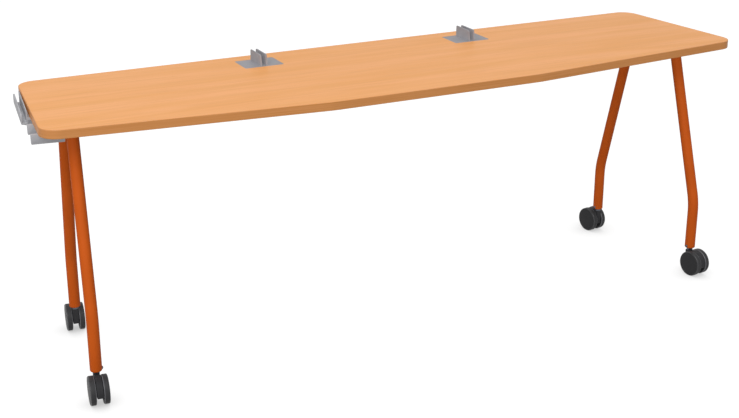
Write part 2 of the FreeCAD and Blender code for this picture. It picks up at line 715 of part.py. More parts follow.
def hook_trough():
    """Trough profile pushed along the end of the table, its lip rounded off at both ends."""
    slot_inner = TROUGH_INNER + TROUGH_INNER_WALL
    slot_outer = slot_inner + TROUGH_SLOT
    lip_outer = slot_outer + LIP_WALL
    floor_low = TROUGH_FLOOR_TOP - TROUGH_FLOOR_WALL
    base_low = UNDERSIDE - HOOK_BASE_THICK
    start = -TROUGH_FRONT
    length = TROUGH_FRONT + HOOK_BACK
    corners = [
        (HOOK_INNER, base_low, 0),
        (TROUGH_INNER, base_low, 0),
        (TROUGH_INNER, floor_low, TROUGH_FILLET),
        (lip_outer, floor_low, LIP_FOOT_ROUND),
        (lip_outer, LIP_TOP, tip_round(LIP_WALL)),
        (slot_outer, LIP_TOP, tip_round(LIP_WALL)),
        (slot_outer, TROUGH_FLOOR_TOP, TROUGH_FILLET),
        (slot_inner, TROUGH_FLOOR_TOP, TROUGH_FILLET),
        (slot_inner, TROUGH_INNER_TOP, tip_round(TROUGH_INNER_WALL)),
        (TROUGH_INNER, TROUGH_INNER_TOP, tip_round(TROUGH_INNER_WALL)),
        (TROUGH_INNER, UNDERSIDE, 0),
        (HOOK_INNER, UNDERSIDE, 0),
    ]
    points = [Vec(across, start, up) for across, up, _ in corners]
    trough = prism(points, [radius for _, _, radius in corners], Y_AXIS * length)
    mid_slot = (slot_inner + slot_outer) / 2
    kept = prism(
        [
            Vec(mid_slot, start, floor_low),
            Vec(mid_slot, start + length, floor_low),
            Vec(mid_slot, start + length, LIP_TOP),
            Vec(mid_slot, start, LIP_TOP),
        ],
        [0, 0, LIP_END_ROUND, LIP_END_ROUND],
        X_AXIS * (lip_outer - mid_slot),
    )
    inside = plate((HOOK_INNER, mid_slot), (start, start + length), (floor_low, TROUGH_INNER_TOP))
    return trough.common(kept.fuse(inside))


def make_hook(nodes):
    """Hook bracket of the left end and its screws, mirrored from a right-hand shape."""
    base = plate(
        (HOOK_INNER, HOOK_BASE_OUTER),
        (-HOOK_FRONT, HOOK_BACK),
        (UNDERSIDE - HOOK_BASE_THICK, UNDERSIDE),
    )
    bracket = base.fuse(hook_trough())
    for front in rib_fronts():
        bracket = bracket.fuse(hook_rib(front).cut(trough_space()))
    screws = []
    for place in hook_screw_places():
        bracket = bracket.cut(screw_hole(place - Z_AXIS * HOOK_BASE_THICK, HOOK_BASE_THICK))
        screws.append(wood_screw(place, HOOK_BASE_THICK, SCREW_BITE))
    nodes["left_hook_bracket"] = mirrored(in_leg_plane(bracket.removeSplitter()))
    nodes["left_hook_screws"] = mirrored(in_leg_plane(Part.makeCompound(screws)))


def caster_stem():
    """Fixed stem: pin in the caster body, bright collar, and shank with a grip groove."""
    collar_bottom = CASTER_BODY_TOP + SIDE_CLEARANCE
    top = TUBE_FOOT_HEIGHT + STEM_LENGTH
    groove_top = top - GRIP_GROOVE_FROM_TIP
    groove_bottom = groove_top - GRIP_GROOVE_WIDTH
    groove = STEM_RADIUS - GRIP_GROOVE_DEPTH
    profile = [
        Vec(0, 0, CASTER_BODY_TOP - PIN_LENGTH),
        Vec(PIN_RADIUS, 0, CASTER_BODY_TOP - PIN_LENGTH),
        Vec(PIN_RADIUS, 0, collar_bottom),
        Vec(STEM_COLLAR_RADIUS - EDGE_ARRIS, 0, collar_bottom),
        Vec(STEM_COLLAR_RADIUS, 0, collar_bottom + EDGE_ARRIS),
        Vec(STEM_COLLAR_RADIUS, 0, TUBE_FOOT_HEIGHT),
        Vec(STEM_RADIUS, 0, TUBE_FOOT_HEIGHT),
        Vec(STEM_RADIUS, 0, groove_bottom),
        Vec(groove, 0, groove_bottom),
        Vec(groove, 0, groove_top),
        Vec(STEM_RADIUS, 0, groove_top),
        Vec(STEM_RADIUS, 0, top - STEM_TIP_CHAMFER),
        Vec(STEM_RADIUS - STEM_TIP_CHAMFER, 0, top),
        Vec(0, 0, top),
    ]
    return turned(profile, Z_AXIS)


def caster_body():
    """Body between the wheels: a round fender over the axle with an upright housing for the pin."""
    half_width = CASTER_BODY_WIDTH / 2
    bottom = WHEEL_RADIUS - CASTER_BODY_DROP
    nose = TRAIL + math.sqrt(CASTER_BODY_RADIUS**2 - CASTER_BODY_DROP**2)
    crest = Vec(-half_width, TRAIL, WHEEL_RADIUS + CASTER_BODY_RADIUS)
    corners = [
        Vec(-half_width, nose, bottom),
        Vec(-half_width, -CASTER_BODY_BACK, bottom),
        Vec(-half_width, -CASTER_BODY_BACK, CASTER_BODY_TOP),
        Vec(-half_width, CASTER_FLAT_END, CASTER_BODY_TOP),
    ]
    edges = [Part.LineSegment(corners[i], corners[i + 1]).toShape() for i in range(3)]
    edges.append(Part.Arc(corners[3], crest, corners[0]).toShape())
    body = Part.Face(Part.Wire(edges)).extrude(X_AXIS * CASTER_BODY_WIDTH)
    rims = [edge for edge in body.Edges if edge.BoundBox.XLength < CASTER_BODY_EDGE]
    body = body.makeFillet(CASTER_BODY_EDGE, rims)
    pin_foot = Vec(0, 0, CASTER_BODY_TOP - PIN_LENGTH - SIDE_CLEARANCE)
    body = body.cut(bar(PIN_RADIUS + RUNNING_CLEARANCE, pin_foot, Z_AXIS, 2 * PIN_LENGTH))
    axle_start = Vec(-CASTER_BODY_WIDTH, TRAIL, WHEEL_RADIUS)
    return body.cut(bar(AXLE_RADIUS + SEAT_CLEARANCE, axle_start, X_AXIS, 2 * CASTER_BODY_WIDTH))


def at_axle(shape):
    shape.translate(Vec(0, TRAIL, WHEEL_RADIUS))
    return shape


def caster_axle():
    """Plain pin that carries both wheels, chamfered at its ends."""
    profile = [
        Vec(-AXLE_HALF_LENGTH, 0, 0),
        Vec(-AXLE_HALF_LENGTH, 0, AXLE_RADIUS - AXLE_CHAMFER),
        Vec(-AXLE_HALF_LENGTH + AXLE_CHAMFER, 0, AXLE_RADIUS),
        Vec(AXLE_HALF_LENGTH - AXLE_CHAMFER, 0, AXLE_RADIUS),
        Vec(AXLE_HALF_LENGTH, 0, AXLE_RADIUS - AXLE_CHAMFER),
        Vec(AXLE_HALF_LENGTH, 0, 0),
    ]
    return at_axle(turned(profile, X_AXIS))


def wheel_core():
    """Outward wheel's core: hub, web, rim and a smooth crowned face."""
    bore = AXLE_RADIUS + RUNNING_CLEARANCE
    bore_end = AXLE_HALF_LENGTH + AXLE_END_GAP
    rim = WHEEL_RADIUS - TREAD_THICK
    hub_face = CASTER_BODY_WIDTH / 2 + SIDE_CLEARANCE
    web_face = WHEEL_OUTER_FACE - WHEEL_WEB
    crown = Vec(WHEEL_OUTER_FACE + WHEEL_CROWN, 0, 0)
    shoulder = Vec(WHEEL_OUTER_FACE, 0, rim)
    slope = WHEEL_CROWN / rim**2
    halfway = Vec(crown.x - slope * (rim / 2) ** 2, 0, rim / 2)
    corners = [
        shoulder,
        Vec(WHEEL_INNER_FACE, 0, rim),
        Vec(WHEEL_INNER_FACE, 0, rim - WHEEL_RIM_WALL),
        Vec(web_face, 0, rim - WHEEL_RIM_WALL),
        Vec(web_face, 0, HUB_RADIUS),
        Vec(hub_face, 0, HUB_RADIUS),
        Vec(hub_face, 0, bore),
        Vec(bore_end, 0, bore),
        Vec(bore_end, 0, 0),
        crown,
    ]
    edges = [Part.LineSegment(corners[i], corners[i + 1]).toShape() for i in range(len(corners) - 1)]
    edges.append(Part.Arc(crown, halfway, shoulder).toShape())
    return at_axle(Part.Face(Part.Wire(edges)).revolve(ORIGIN, X_AXIS, 360))


def wheel_tread():
    """Soft tread round the core, with rounded shoulders."""
    bottom = WHEEL_RADIUS - TREAD_THICK + SEAT_CLEARANCE
    points = [
        Vec(WHEEL_INNER_FACE, 0, bottom),
        Vec(WHEEL_OUTER_FACE, 0, bottom),
        Vec(WHEEL_OUTER_FACE, 0, WHEEL_RADIUS),
        Vec(WHEEL_INNER_FACE, 0, WHEEL_RADIUS),
    ]
    face = Part.Face(rounded_wire(points, [0, 0, TREAD_ROUND, TREAD_ROUND]))
    return at_axle(face.revolve(ORIGIN, X_AXIS, 360))


def make_casters(nodes):
    """Four casters, the front pair trailing to the front and the rear pair to the back."""
    core = wheel_core()
    tread = wheel_tread()
    pieces = {
        "stem": caster_stem(),
        "body": caster_body(),
        "axle": caster_axle(),
        "outer_wheel": core,
        "outer_tread": tread,
        "inner_wheel": mirrored(core),
        "inner_tread": mirrored(tread),
    }
    for end, foot, forward in (("front", -FOOT_REACH, True), ("rear", FOOT_REACH, False)):
        for name, shape in pieces.items():
            placed = shape.mirror(ORIGIN, Y_AXIS) if forward else shape.copy()
            placed.translate(Vec(0, foot, 0))
            nodes["right_" + end + "_caster_" + name] = in_leg_plane(placed)
            nodes["left_" + end + "_caster_" + name] = mirrored(in_leg_plane(placed))


def main():
    nodes = {}
    make_top(nodes)
    make_docks(nodes)
    make_legs(nodes)
    make_channel(nodes)
    make_hook(nodes)
    make_casters(nodes)
    shift = box_shift()
    os.makedirs("parts", exist_ok=True)
    for name, shape in nodes.items():
        shape.translate(shift)
        shape.exportStep("parts/" + name + ".step")
        print(name, len(shape.Solids), shape.isValid(), round(shape.Volume, 1))
    print(len(nodes), "nodes; shift", round(shift.x, 3), round(shift.y, 3))


main()
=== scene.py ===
"""Looks of the training table: finishes, turned wheels, bent tubes, screw heads, light and camera."""

import json
import logging
import math
from dataclasses import KW_ONLY, dataclass
from enum import Enum
from typing import Any, Dict, Iterable, List, Optional, Sequence, Tuple, Union

import bmesh
import bpy
from mathutils import Matrix, Vector

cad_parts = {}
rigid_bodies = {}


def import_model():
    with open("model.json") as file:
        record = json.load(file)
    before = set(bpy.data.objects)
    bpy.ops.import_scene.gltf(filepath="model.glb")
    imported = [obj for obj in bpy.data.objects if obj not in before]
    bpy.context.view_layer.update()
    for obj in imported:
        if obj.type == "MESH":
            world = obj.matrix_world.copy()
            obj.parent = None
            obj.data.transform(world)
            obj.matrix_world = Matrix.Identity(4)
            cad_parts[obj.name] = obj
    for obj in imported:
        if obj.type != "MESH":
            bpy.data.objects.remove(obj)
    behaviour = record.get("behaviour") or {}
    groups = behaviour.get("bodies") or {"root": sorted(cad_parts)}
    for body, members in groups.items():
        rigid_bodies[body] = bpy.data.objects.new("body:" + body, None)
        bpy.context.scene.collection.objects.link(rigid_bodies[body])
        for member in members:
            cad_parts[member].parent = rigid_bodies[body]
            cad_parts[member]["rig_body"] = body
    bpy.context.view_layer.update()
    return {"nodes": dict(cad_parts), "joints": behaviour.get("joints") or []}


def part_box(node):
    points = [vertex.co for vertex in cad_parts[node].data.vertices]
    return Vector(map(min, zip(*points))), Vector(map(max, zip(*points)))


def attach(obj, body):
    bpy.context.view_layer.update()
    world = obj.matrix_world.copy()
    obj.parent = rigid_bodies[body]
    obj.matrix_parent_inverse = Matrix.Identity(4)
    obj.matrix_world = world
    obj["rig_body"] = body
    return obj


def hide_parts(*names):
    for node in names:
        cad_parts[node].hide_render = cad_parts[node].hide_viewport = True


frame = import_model()
LOG = logging.getLogger("training_table")

# One millimetre in the frame's metres.
MM = 0.001
# Corners that agree to this many digits of a metre are one corner.
MERGE_DIGITS = 6
# Turned points closer than this, in metres, are one point.
WELD = 1e-6
# Faces that turn by less than this, in degrees, are one flat face.
FLAT_ANGLE = 0.5
# Edges that turn by more than this, in degrees, are broken.
EDGE_ANGLE = 40.0
# Edges that turn by more than this, in degrees, stay creased under smooth shading.
CREASE_ANGLE = 32.0
# The sRGB curve is straight up to its knee and a power above it.
SRGB_KNEE = 0.04045
SRGB_SLOPE = 12.92
SRGB_OFFSET = 0.055
SRGB_POWER = 2.4
# Colour sockets of a Mix node, by index, because their names repeat for each type of data.
MIX_FACTOR = 0
MIX_LOW = 6
MIX_HIGH = 7
MIX_RESULT = 2
# Half width of a cross recess's arm, as a share of its half length.
CROSS_ARM = 0.32
# Height of a screw head's crown, halfway out, as a share of its rise above the shoulder.
CROWN_RISE = 2 / 3
UP = Vector((0, 0, 1))
DOWN = Vector((0, 0, -1))

Tree = bpy.types.NodeTree
Node = bpy.types.Node
Socket = bpy.types.NodeSocket
Mesh = bpy.types.Mesh
Inputs = Dict[Union[str, int], Any]
Colour = Tuple[float, float, float, float]
Paint = Union[Colour, Socket]
Triple = Tuple[float, float, float]
Span = Tuple[float, float]
Profile = List[Tuple[float, float]]


class Side(Enum):
    """The two ends of the table, by the direction of each along X."""

    LEFT = -1
    RIGHT = 1

    @property
    def word(self) -> str:
        """Name of the side as it starts a node's name."""
        return self.name.lower()


class End(Enum):
    """The two legs of a pair, by the word in their nodes' names."""

    FRONT = "front"
    REAR = "rear"


class TwinWheel(Enum):
    """The two wheels of a caster, by the word in their nodes' names."""

    OUTER = "outer"
    INNER = "inner"


CORNERS = [f"{side.word}_{end.value}" for side in Side for end in End]


def linear(hex_colour: str) -> Colour:
    """Turn an sRGB hex colour into linear light.

    Args:
        hex_colour: Six hex digits, red first.

    Returns:
        Linear red, green and blue, with an alpha of 1.
    """
    levels = [int(hex_colour[start:start + 2], 16) / 255 for start in (0, 2, 4)]
    red, green, blue = (
        level / SRGB_SLOPE
        if level <= SRGB_KNEE
        else ((level + SRGB_OFFSET) / (1 + SRGB_OFFSET)) ** SRGB_POWER
        for level in levels
    )
    return (red, green, blue, 1.0)


def add(tree: Tree, kind: str, inputs: Optional[Inputs] = None, **settings: Any) -> Node:
    """Add a node with its settings, values and links.

    Args:
        tree: The tree that takes the node.
        kind: The node's type name.
        inputs: Socket name or index, to a value or to the output socket that feeds it.
        **settings: The node's own properties.

    Returns:
        The new node.
    """
    made = tree.nodes.new(kind)
    for key, value in settings.items():
        setattr(made, key, value)
    for key, value in (inputs or {}).items():
        if isinstance(value, Socket):
            tree.links.new(value, made.inputs[key])
        else:
            made.inputs[key].default_value = value
    return made


@dataclass(frozen=True)
class Grain:
    """A noise pattern of a real size.

    Its size is that of its features along X, Y and Z, in millimetres. Detail is its octaves, and sway is
    how far it wanders, as a share of its features.
    """

    size: Triple
    detail: float = 2.0
    sway: float = 0.0

    def value(self, tree: Tree) -> Socket:
        """Add the pattern to a material.

        Args:
            tree: The material's tree.

        Returns:
            The noise value socket.
        """
        per_metre = tuple(1 / (feature * MM) for feature in self.size)
        place = add(tree, "ShaderNodeTexCoord")
        scaled = add(tree, "ShaderNodeMapping", {"Vector": place.outputs["Object"], "Scale": per_metre})
        noise = add(tree, "ShaderNodeTexNoise", {
            "Vector": scaled.outputs["Vector"], "Scale": 1.0, "Detail": self.detail, "Distortion": self.sway,
        })
        return noise.outputs["Fac"]


@dataclass(frozen=True)
class Finish:
    """A surface finish, made once and shared by every piece that has it.

    Rough is the span of its roughness, and depth is the height of its relief in millimetres. The specular
    level is held low, because white surroundings fill every reflection.
    """

    name: str
    _: KW_ONLY
    rough: Span
    depth: float
    specular: float = 0.2
    metallic: float = 0.0

    def material(self) -> bpy.types.Material:
        """Build the finish, or fetch it if it is built already.

        Returns:
            The material.
        """
        known = bpy.data.materials.get(self.name)
        if known:
            return known
        made = bpy.data.materials.new(self.name)
        made.use_nodes = True
        tree = made.node_tree
        tree.nodes.clear()
        shader = add(tree, "ShaderNodeBsdfPrincipled", {
            "Specular IOR Level": self.specular, "Metallic": self.metallic,
        })
        add(tree, "ShaderNodeOutputMaterial", {"Surface": shader.outputs["BSDF"]})
        self.paint(tree, shader)
        return made

    def paint(self, tree: Tree, shader: Node) -> None:
        """Give the shader its colour, gloss and relief.

        Args:
            tree: The material's tree.
            shader: Its shader.
        """
        raise NotImplementedError

    def blend(self, tree: Tree, pattern: Socket, low: Paint, high: Paint, span: Span) -> Socket:
        """Mix two colours by a pattern.

        Args:
            tree: The material's tree.
            pattern: The pattern's value socket.
            low: Colour or socket where the pattern is low.
            high: Colour or socket where the pattern is high.
            span: Pattern values at which the mix starts and ends.

        Returns:
            The mixed colour socket.
        """
        share = add(tree, "ShaderNodeMapRange", {"Value": pattern, "From Min": span[0], "From Max": span[1]})
        sockets = {MIX_FACTOR: share.outputs["Result"], MIX_LOW: low, MIX_HIGH: high}
        mixed = add(tree, "ShaderNodeMix", sockets, data_type="RGBA")
        return mixed.outputs[MIX_RESULT]

    def lay(self, tree: Tree, shader: Node, colour: Socket, gloss: Socket, relief: Socket) -> None:
        """Feed the shader.

        Args:
            tree: The material's tree.
            shader: Its shader.
            colour: The colour socket.
            gloss: Pattern that the roughness follows.
            relief: Pattern that raises the surface.
        """
        low, high = self.rough
        rough = add(tree, "ShaderNodeMapRange", {"Value": gloss, "To Min": low, "To Max": high})
        bump = add(tree, "ShaderNodeBump", {"Height": relief, "Distance": self.depth * MM, "Strength": 1.0})
        tree.links.new(colour, shader.inputs["Base Color"])
        tree.links.new(rough.outputs["Result"], shader.inputs["Roughness"])
        tree.links.new(bump.outputs["Normal"], shader.inputs["Normal"])


@dataclass(frozen=True, kw_only=True)
class BeechLaminate(Finish):
    """High-pressure laminate with a printed beech grain.

    The eye sees a warm, even field with faint swaying streaks along the table, short darker ray flecks
    close up, and a satin sheen that hides the light's outline.
    """

    pale: str = "F7B173"
    body: str = "F1A963"
    streak: str = "E9A15C"
    fleck: str = "DF9750"
    bands: Grain = Grain((620, 52, 52), sway=0.6)
    streaks: Grain = Grain((190, 5.5, 5.5), detail=4.0, sway=0.5)
    rays: Grain = Grain((14, 1.3, 1.3), detail=1.0)
    band_span: Span = (0.36, 0.64)
    streak_span: Span = (0.18, 0.52)
    ray_span: Span = (0.66, 0.86)
    rough: Span = (0.38, 0.50)
    depth: float = 0.02

    def paint(self, tree: Tree, shader: Node) -> None:
        """Lay broad bands, fine streaks and flecks over each other, all along X.

        Args:
            tree: The material's tree.
            shader: Its shader.
        """
        bands = self.bands.value(tree)
        streaks = self.streaks.value(tree)
        rays = self.rays.value(tree)
        banded = self.blend(tree, bands, linear(self.body), linear(self.pale), self.band_span)
        streaked = self.blend(tree, streaks, linear(self.streak), banded, self.streak_span)
        flecked = self.blend(tree, rays, streaked, linear(self.fleck), self.ray_span)
        self.lay(tree, shader, flecked, streaks, streaks)


@dataclass(frozen=True, kw_only=True)
class BeechEdgeBand(Finish):
    """Extruded edge band in a beech tone, with fine lines along the edge.

    It is deeper than the laminate, partly in its own tone and partly as painted shade for its front face.
    """

    light: str = "D49157"
    dark: str = "C88548"
    lines: Grain = Grain((260, 260, 2.2), detail=3.0)
    drift: Grain = Grain((180, 180, 40))
    line_span: Span = (0.30, 0.62)
    drift_span: Span = (0.45, 0.95)
    rough: Span = (0.42, 0.54)
    depth: float = 0.015

    def paint(self, tree: Tree, shader: Node) -> None:
        """Run thin level lines round the edge, fainter in places.

        Args:
            tree: The material's tree.
            shader: Its shader.
        """
        lines = self.lines.value(tree)
        drift = self.drift.value(tree)
        lined = self.blend(tree, lines, linear(self.dark), linear(self.light), self.line_span)
        tinted = self.blend(tree, drift, lined, linear(self.light), self.drift_span)
        self.lay(tree, shader, tinted, lines, lines)


@dataclass(frozen=True, kw_only=True)
class RawBoard(Finish):
    """Pressed particleboard: pale and dark wood flakes, dry and rough, all but hidden by its sheets."""

    pale: str = "CBAA7B"
    dark: str = "8E6B43"
    flakes: Grain = Grain((4, 4, 1.6))
    span: Span = (0.35, 0.65)
    rough: Span = (0.80, 0.95)
    depth: float = 0.25

    def paint(self, tree: Tree, shader: Node) -> None:
        """Scatter flakes of a few millimetres.

        Args:
            tree: The material's tree.
            shader: Its shader.
        """
        flakes = self.flakes.value(tree)
        colour = self.blend(tree, flakes, linear(self.dark), linear(self.pale), self.span)
        self.lay(tree, shader, colour, flakes, flakes)


@dataclass(frozen=True, kw_only=True)
class BackerSheet(Finish):
    """Plain balancing sheet under the top: flat warm grey with a faint cloudiness."""

    light: str = "C6BAA9"
    dark: str = "BFB3A2"
    cloud: Grain = Grain((90, 90, 90), detail=3.0)
    tooth: Grain = Grain((1.6, 1.6, 1.6))
    span: Span = (0.35, 0.65)
    rough: Span = (0.60, 0.75)
    depth: float = 0.03

    def paint(self, tree: Tree, shader: Node) -> None:
        """Cloud the sheet and give it a slight tooth.

        Args:
            tree: The material's tree.
            shader: Its shader.
        """
        cloud = self.cloud.value(tree)
        tooth = self.tooth.value(tree)
        colour = self.blend(tree, cloud, linear(self.dark), linear(self.light), self.span)
        self.lay(tree, shader, colour, tooth, tooth)


@dataclass(frozen=True, kw_only=True)
class PowderCoat(Finish):
    """Powder coat baked on steel: even colour, satin gloss and a fine orange-peel skin.

    The skin's cells are under a millimetre on the real coat, and are drawn at 2.4 mm so that they show.
    """

    light: str = "CE5C18"
    dark: str = "C25412"
    film: Grain = Grain((55, 55, 120))
    peel: Grain = Grain((2.4, 2.4, 2.4))
    span: Span = (0.30, 0.70)
    rough: Span = (0.50, 0.62)
    depth: float = 0.08

    def paint(self, tree: Tree, shader: Node) -> None:
        """Vary the film a little and dimple it.

        Args:
            tree: The material's tree.
            shader: Its shader.
        """
        film = self.film.value(tree)
        peel = self.peel.value(tree)
        colour = self.blend(tree, film, linear(self.dark), linear(self.light), self.span)
        self.lay(tree, shader, colour, film, peel)


@dataclass(frozen=True, kw_only=True)
class Moulding(Finish):
    """Moulded plastic or rubber with a fine spark-eroded grain, which breaks up its highlights.

    The grain is about 0.3 mm on the real moulding, and is drawn at 1.2 mm so that it shows.
    """

    light: str = "9C9B9F"
    dark: str = "939297"
    flow: Grain = Grain((38, 38, 38))
    stipple: Grain = Grain((1.2, 1.2, 1.2))
    span: Span = (0.30, 0.70)
    rough: Span = (0.48, 0.60)
    depth: float = 0.04

    def paint(self, tree: Tree, shader: Node) -> None:
        """Shade the skin faintly and stipple it.

        Args:
            tree: The material's tree.
            shader: Its shader.
        """
        flow = self.flow.value(tree)
        stipple = self.stipple.value(tree)
        colour = self.blend(tree, flow, linear(self.dark), linear(self.light), self.span)
        self.lay(tree, shader, colour, stipple, stipple)


@dataclass(frozen=True, kw_only=True)
class Rubber(Finish):
    """Soft tread compound: charcoal with a low sheen, a little paler where dust clings to it."""

    clean: str = "363638"
    dusty: str = "3E3E3E"
    dust: Grain = Grain((9, 9, 9), detail=4.0)
    tooth: Grain = Grain((0.9, 0.9, 0.9))
    span: Span = (0.45, 0.75)
    rough: Span = (0.46, 0.58)
    depth: float = 0.04

    def paint(self, tree: Tree, shader: Node) -> None:
        """Dust the tread in patches and give it a tooth.

        Args:
            tree: The material's tree.
            shader: Its shader.
        """
        dust = self.dust.value(tree)
        tooth = self.tooth.value(tree)
        colour = self.blend(tree, dust, linear(self.clean), linear(self.dusty), self.span)
        self.lay(tree, shader, colour, dust, tooth)


@dataclass(frozen=True, kw_only=True)
class PlatedSteel(Finish):
    """Plated steel: a clouded metal with faint level marks, pale as zinc and darker as nickel."""

    light: str = "C9CCD2"
    dark: str = "B4B7BE"
    cloud: Grain = Grain((7, 7, 0.8), detail=3.0)
    span: Span = (0.30, 0.70)
    rough: Span = (0.28, 0.40)
    depth: float = 0.008
    metallic: float = 1.0

    def paint(self, tree: Tree, shader: Node) -> None:
        """Cloud the plating and mark it lightly.

        Args:
            tree: The material's tree.
            shader: Its shader.
        """
        cloud = self.cloud.value(tree)
        colour = self.blend(tree, cloud, linear(self.dark), linear(self.light), self.span)
        self.lay(tree, shader, colour, cloud, cloud)


BEECH = BeechLaminate("beech_laminate_pressed", specular=0.1)
# The edge band's deeper tone is partly its own and partly painted shade for its front face.
EDGE = BeechEdgeBand("beech_edge_band_extruded")
BOARD = RawBoard("particleboard_raw")
BACKER = BackerSheet("balancing_sheet_pressed")
ORANGE = PowderCoat("orange_powder_coat_baked", specular=0.12)
GREY_STEEL = PowderCoat("grey_powder_coat_baked", light="949498", dark="8A8A8E")
# The docks are a mid grey; the hook bracket's paler grey is painted light, lifting its shaded trough.
GREY = Moulding("grey_nylon_moulded")
GREY_WITH_PAINTED_LIGHT = Moulding("pale_grey_nylon_moulded", light="B4B4B8", dark="ABABAF")
# The wheels' discs and the sockets are the darkest, and the caster bodies are a little paler and duller.
CASTER = Moulding("charcoal_nylon_moulded", light="232325", dark="1E1E20", rough=(0.42, 0.54), depth=0.03)
FORK = Moulding(
    "slate_nylon_moulded", light="38383A", dark="303032", rough=(0.46, 0.58), depth=0.03, specular=0.1,
)
# A tyre's rubber is glossy on its outer shoulder. On the shoulder beside the body, its pale colour is a
# painted highlight.
POLISHED = Moulding(
    "tread_rubber_polished", light="3E3E41", dark="363639", rough=(0.18, 0.28), depth=0.01, specular=0.45,
)
PAINTED_HIGHLIGHT_RUBBER = Moulding(
    "tread_rubber_worn", light="707074", dark="66666A", rough=(0.30, 0.40), depth=0.01, specular=0.3,
)
TREAD = Rubber("tread_rubber_moulded", specular=0.16)
# Zinc is on the wood screws and axles, and nickel on the stems and socket screws.
ZINC = PlatedSteel("zinc_plated_steel")
NICKEL = PlatedSteel("nickel_plated_steel", light="5E6167", dark="505359", rough=(0.34, 0.46))


def nodes_ending(*endings: str) -> List[str]:
    """Names of the frame's nodes that end in one of the given words."""
    return sorted(name for name in frame["nodes"] if name.endswith(endings))


def joint(name: str) -> Dict[str, Any]:
    """The frame's joint of a given name."""
    return next(one for one in frame["joints"] if one["name"] == name)


def coat(finish: Finish, names: Iterable[str]) -> None:
    """Give a finish to nodes that stay as the frame has them.

    Args:
        finish: The finish.
        names: The nodes' names.
    """
    for name in names:
        for slot in frame["nodes"][name].material_slots:
            slot.material = finish.material()
        LOG.info("dressed %s with %s", name, finish.name)


def link(name: str, data: bpy.types.ID) -> bpy.types.Object:
    """Put a new object in the scene.

    Args:
        name: The object's name.
        data: Its mesh, lamp or camera.

    Returns:
        The object.
    """
    made = bpy.data.objects.new(name, data)
    bpy.context.scene.collection.objects.link(made)
    return made


def place_piece(name: str, mesh: Mesh, finish: Finish, node: str) -> None:
    """Put a finished mesh in the place of a node of the frame.

    Args:
        name: The piece's name.
        mesh: Its mesh, in the frame's own coordinates.
        finish: Its finish.
        node: The node that it stands for.
    """
    mesh.materials.clear()
    mesh.materials.append(finish.material())
    piece = link(name, mesh)
    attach(piece, frame["nodes"][node]["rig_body"])
    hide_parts(node)
    LOG.info("built %s, %d faces, for %s", name, len(mesh.polygons), node)


def smooth(mesh: Mesh) -> None:
    """Shade a mesh smoothly, apart from its creases."""
    mesh.shade_smooth()
    mesh.set_sharp_from_angle(angle=math.radians(CREASE_ANGLE))


def meshed(shape: bmesh.types.BMesh, name: str) -> Mesh:
    """Turn a mesh in editing form into a plain one.

    Args:
        shape: The mesh in editing form, which is freed.
        name: The plain mesh's name.

    Returns:
        The plain mesh.
    """
    mesh = bpy.data.meshes.new(name)
    shape.to_mesh(mesh)
    shape.free()
    return mesh


def evaluated(holder: bpy.types.Object) -> Mesh:
    """Turn an object and its modifiers into a plain mesh.

    Args:
        holder: The object, which is removed.

    Returns:
        The plain mesh.
    """
    graph = bpy.context.evaluated_depsgraph_get()
    mesh = bpy.data.meshes.new_from_object(holder.evaluated_get(graph))
    bpy.data.objects.remove(holder)
    return mesh


def merged(node: str) -> bmesh.types.BMesh:
    """Copy a node's loose triangles into one joined mesh.

    Args:
        node: The node's name.

    Returns:
        A new mesh in editing form, which the caller frees.
    """
    source = frame["nodes"][node].data
    joined = bmesh.new()
    known: Dict[Tuple[float, ...], bmesh.types.BMVert] = {}
    for triangle in source.polygons:
        corners = []
        for index in triangle.vertices:
            key = tuple(round(value, MERGE_DIGITS) for value in source.vertices[index].co)
            if key not in known:
                known[key] = joined.verts.new(key)
            corners.append(known[key])
        whole = len(set(corners)) == len(corners)
        if whole and not joined.faces.get(corners):
            joined.faces.new(corners)
    return joined


def box_round(points: Sequence[Vector]) -> Tuple[Vector, Vector]:
    """Find the box round some points.

    Args:
        points: The points.

    Returns:
        The box's lowest and highest corner.
    """
    low = Vector([min(point[axis] for point in points) for axis in range(3)])
    high = Vector([max(point[axis] for point in points) for axis in range(3)])
    return low, high


def solids_of(node: str) -> List[Tuple[Vector, Vector]]:
    """Find the separate solids of a node that groups identical pieces.

    Args:
        node: The node's name.

    Returns:
        The lowest and highest corner of each solid.
    """
    joined = merged(node)
    waiting = set(joined.verts)
    boxes = []
    while waiting:
        island = {waiting.pop()}
        edge_of_island = list(island)
        while edge_of_island:
            vertex = edge_of_island.pop()
            fresh = {edge.other_vert(vertex) for edge in vertex.link_edges} - island
            island |= fresh
            edge_of_island += fresh
        waiting -= island
        boxes.append(box_round([vertex.co for vertex in island]))
    joined.free()
    return sorted(boxes, key=lambda box: tuple(box[0]))


def soften(node: str, finish: Finish, width: float, segments: int = 2) -> None:
    """Stand a copy of a node, with its sharp edges broken, in the node's place.

    Args:
        node: The node's name.
        finish: The copy's finish.
        width: Width of each broken edge, in millimetres.
        segments: Steps across a broken edge.
    """
    joined = merged(node)
    bmesh.ops.dissolve_limit(
        joined, angle_limit=math.radians(FLAT_ANGLE), verts=joined.verts[:], edges=joined.edges[:],
    )
    holder = link(node + "_plain", meshed(joined, node + "_plain"))
    edge = holder.modifiers.new("broken_edges", "BEVEL")
    edge.width = width * MM
    edge.segments = segments
    edge.limit_method = "ANGLE"
    edge.angle_limit = math.radians(EDGE_ANGLE)
    edge.use_clamp_overlap = True
    finished = evaluated(holder)
    smooth(finished)
    place_piece(node + "_soft", finished, finish, node)


